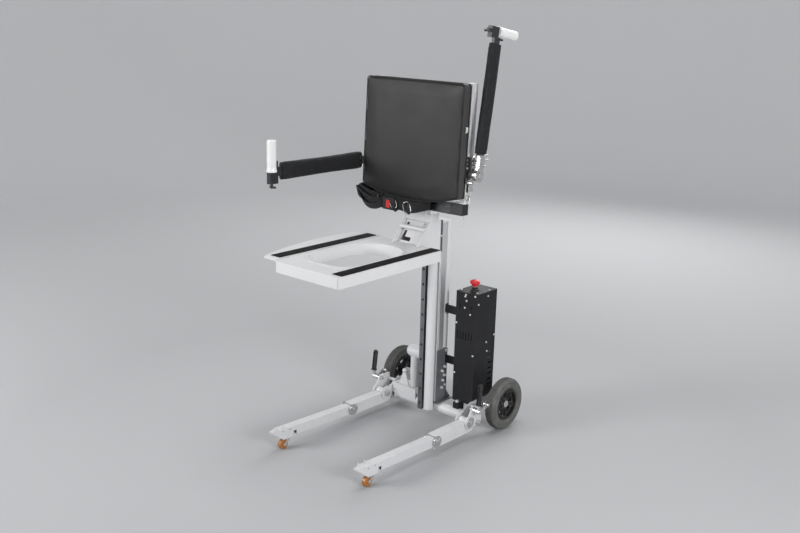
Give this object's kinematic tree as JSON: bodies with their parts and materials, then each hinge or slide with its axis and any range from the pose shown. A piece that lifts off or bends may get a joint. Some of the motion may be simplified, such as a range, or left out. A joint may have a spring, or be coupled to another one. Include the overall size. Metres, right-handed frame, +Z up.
{
  "type": "sit to stand lift",
  "caption": "White wheeled sit to stand lift with folding legs, a raised hygienic seat, padded backrest, swinging arms and a black battery box.",
  "frame": {"origin": "on the floor, at the centre of the footprint with the seat raised", "axes": "+Z up, +X towards the raised arm and the power box, -Y towards the leg tips and the front of the seat"},
  "size_m": [0.561, 0.8946, 1.5054],
  "materials": {
    "white_frame": "satin",
    "white_sheet": "satin",
    "grey_metal": "satin",
    "extrusion": "satin",
    "rail_steel": "satin",
    "zinc": "satin",
    "steel_shaft": "polished",
    "bronze": "satin",
    "black_box": "satin",
    "battery": "matte",
    "black_plastic": "matte",
    "red_plastic": "gloss",
    "grey_tyre": "matte",
    "caster_tread": "satin",
    "grip_rubber": "matte",
    "grip_tape": "matte",
    "pad_vinyl": "satin",
    "webbing": "matte",
    "arm_foam": "matte",
    "arm_steel": "satin",
    "handle_white": "gloss"
  },
  "bodies": {
    "base": {"cross_beam": "white_frame", "side_bracket_left": "white_frame", "side_bracket_right": "white_frame", "axles_and_pivots": "zinc", "mast_extrusion": "extrusion", "mast_cover": "white_sheet", "linear_rail": "rail_steel", "rail_screws": "black_plastic", "guide_column": "white_frame", "mast_foot": "grey_metal", "bright_bolts": "zinc", "lift_motor": "white_frame", "spindle_bearings": "grey_metal", "power_box": "black_box", "box_cover": "black_box", "battery_pack": "battery", "stop_switch_base": "black_plastic"},
    "spindle": {"lift_spindle": "steel_shaft"},
    "stop_button": {"stop_button": "red_plastic"},
    "carriage": {"carriage_frame": "white_sheet", "guide_blocks": "rail_steel", "spindle_nut": "bronze", "seat_panel": "white_sheet", "seat_strip": "grip_tape", "back_frame": "extrusion", "back_uprights": "white_frame", "backrest_board": "black_plastic", "backrest_pad": "pad_vinyl", "hip_belt": "webbing", "belt_buckle": "black_plastic", "arm_brackets": "zinc"},
    "flap": {"seat_flap": "white_sheet", "flap_strip": "grip_tape"},
    "buckle_button": {"buckle_button": "red_plastic"},
    "wheel_left": {"tyre_left": "grey_tyre", "wheel_hub_left": "black_plastic"},
    "brake_left": {"brake_lever_left": "zinc", "brake_grip_left": "grip_rubber"},
    "leg_left": {"leg_rear_left": "white_frame", "leg_hinge_left": "zinc"},
    "leg_tip_left": {"leg_front_left": "white_frame"},
    "leg_knob_left": {"leg_knob_left": "zinc"},
    "caster_left": {"caster_fork_left": "zinc"},
    "caster_wheel_left": {"caster_wheel_left": "caster_tread"},
    "arm_left": {"arm_left": "arm_steel", "arm_sleeve_left": "arm_foam", "arm_handle_left": "handle_white"},
    "wheel_right": {"tyre_right": "grey_tyre", "wheel_hub_right": "black_plastic"},
    "brake_right": {"brake_lever_right": "zinc", "brake_grip_right": "grip_rubber"},
    "leg_right": {"leg_rear_right": "white_frame", "leg_hinge_right": "zinc"},
    "leg_tip_right": {"leg_front_right": "white_frame"},
    "leg_knob_right": {"leg_knob_right": "zinc"},
    "caster_right": {"caster_fork_right": "zinc"},
    "caster_wheel_right": {"caster_wheel_right": "caster_tread"},
    "arm_right": {"arm_right": "arm_steel", "arm_sleeve_right": "arm_foam", "arm_handle_right": "handle_white"}
  },
  "joints": [
    {"name": "carriage_lift", "type": "slide", "parent": "base", "child": "carriage", "axis": [0, 0, 1], "range_m": [-0.58, 0]},
    {"name": "spindle_turn", "type": "hinge", "parent": "base", "child": "spindle", "pos_m": [-0.006, 0.23425, 0.44], "axis": [0, 0, 1], "range_deg": [-21000, 100]},
    {"name": "flap_fold", "type": "hinge", "parent": "carriage", "child": "flap", "pos_m": [-0.155, -0.17175, 0.7275], "axis": [0, 1, 0], "range_deg": [0, 90]},
    {"name": "stop_press", "type": "slide", "parent": "base", "child": "stop_button", "axis": [0, 0, -1], "range_m": [0, 0.004], "stiffness_N_per_m": 900},
    {"name": "buckle_press", "type": "slide", "parent": "carriage", "child": "buckle_button", "axis": [0, 1, 0], "range_m": [0, 0.003], "stiffness_N_per_m": 700},
    {"name": "wheel_left", "type": "hinge", "parent": "base", "child": "wheel_left", "pos_m": [-0.259, 0.34725, 0.1], "axis": [1, 0, 0], "continuous": true},
    {"name": "brake_left", "type": "hinge", "parent": "base", "child": "brake_left", "pos_m": [-0.262, 0.18725, 0.114], "axis": [-1, 0, 0], "range_deg": [0, 20]},
    {"name": "leg_left", "type": "hinge", "parent": "base", "child": "leg_left", "pos_m": [-0.208, 0.16925, 0.068], "axis": [-1, 0, 0], "range_deg": [0, 90]},
    {"name": "leg_tip_left", "type": "hinge", "parent": "leg_left", "child": "leg_tip_left", "pos_m": [-0.208, -0.01898, 0.05263], "axis": [1, 0, 0], "range_deg": [0, 120]},
    {"name": "leg_knob_left", "type": "slide", "parent": "base", "child": "leg_knob_left", "axis": [-1, 0, 0], "range_m": [0, 0.006], "stiffness_N_per_m": 600},
    {"name": "caster_swivel_left", "type": "hinge", "parent": "leg_tip_left", "child": "caster_left", "pos_m": [-0.208, -0.34269, 0.04161], "axis": [0, 0, 1], "continuous": true},
    {"name": "caster_roll_left", "type": "hinge", "parent": "caster_left", "child": "caster_wheel_left", "pos_m": [-0.208, -0.36369, 0.019], "axis": [1, 0, 0], "continuous": true},
    {"name": "wheel_right", "type": "hinge", "parent": "base", "child": "wheel_right", "pos_m": [0.259, 0.34725, 0.1], "axis": [1, 0, 0], "continuous": true},
    {"name": "brake_right", "type": "hinge", "parent": "base", "child": "brake_right", "pos_m": [0.262, 0.18725, 0.114], "axis": [-1, 0, 0], "range_deg": [0, 20]},
    {"name": "leg_right", "type": "hinge", "parent": "base", "child": "leg_right", "pos_m": [0.208, 0.16925, 0.068], "axis": [-1, 0, 0], "range_deg": [0, 90]},
    {"name": "leg_tip_right", "type": "hinge", "parent": "leg_right", "child": "leg_tip_right", "pos_m": [0.208, -0.01898, 0.05263], "axis": [1, 0, 0], "range_deg": [0, 120]},
    {"name": "leg_knob_right", "type": "slide", "parent": "base", "child": "leg_knob_right", "axis": [1, 0, 0], "range_m": [0, 0.006], "stiffness_N_per_m": 600},
    {"name": "caster_swivel_right", "type": "hinge", "parent": "leg_tip_right", "child": "caster_right", "pos_m": [0.208, -0.34269, 0.04161], "axis": [0, 0, 1], "continuous": true},
    {"name": "caster_roll_right", "type": "hinge", "parent": "caster_right", "child": "caster_wheel_right", "pos_m": [0.208, -0.36369, 0.019], "axis": [1, 0, 0], "continuous": true},
    {"name": "arm_left", "type": "hinge", "parent": "carriage", "child": "arm_left", "pos_m": [-0.253, 0.12025, 1.005], "axis": [-1, 0, 0], "range_deg": [0, 98.6]},
    {"name": "arm_right", "type": "hinge", "parent": "carriage", "child": "arm_right", "pos_m": [0.253, 0.12025, 1.005], "axis": [1, 0, 0], "range_deg": [0, 98.6]}
  ],
  "couplings": [
    {"joint": "spindle_turn", "follows": "carriage_lift", "rad_per_m": 628.32}
  ]
}
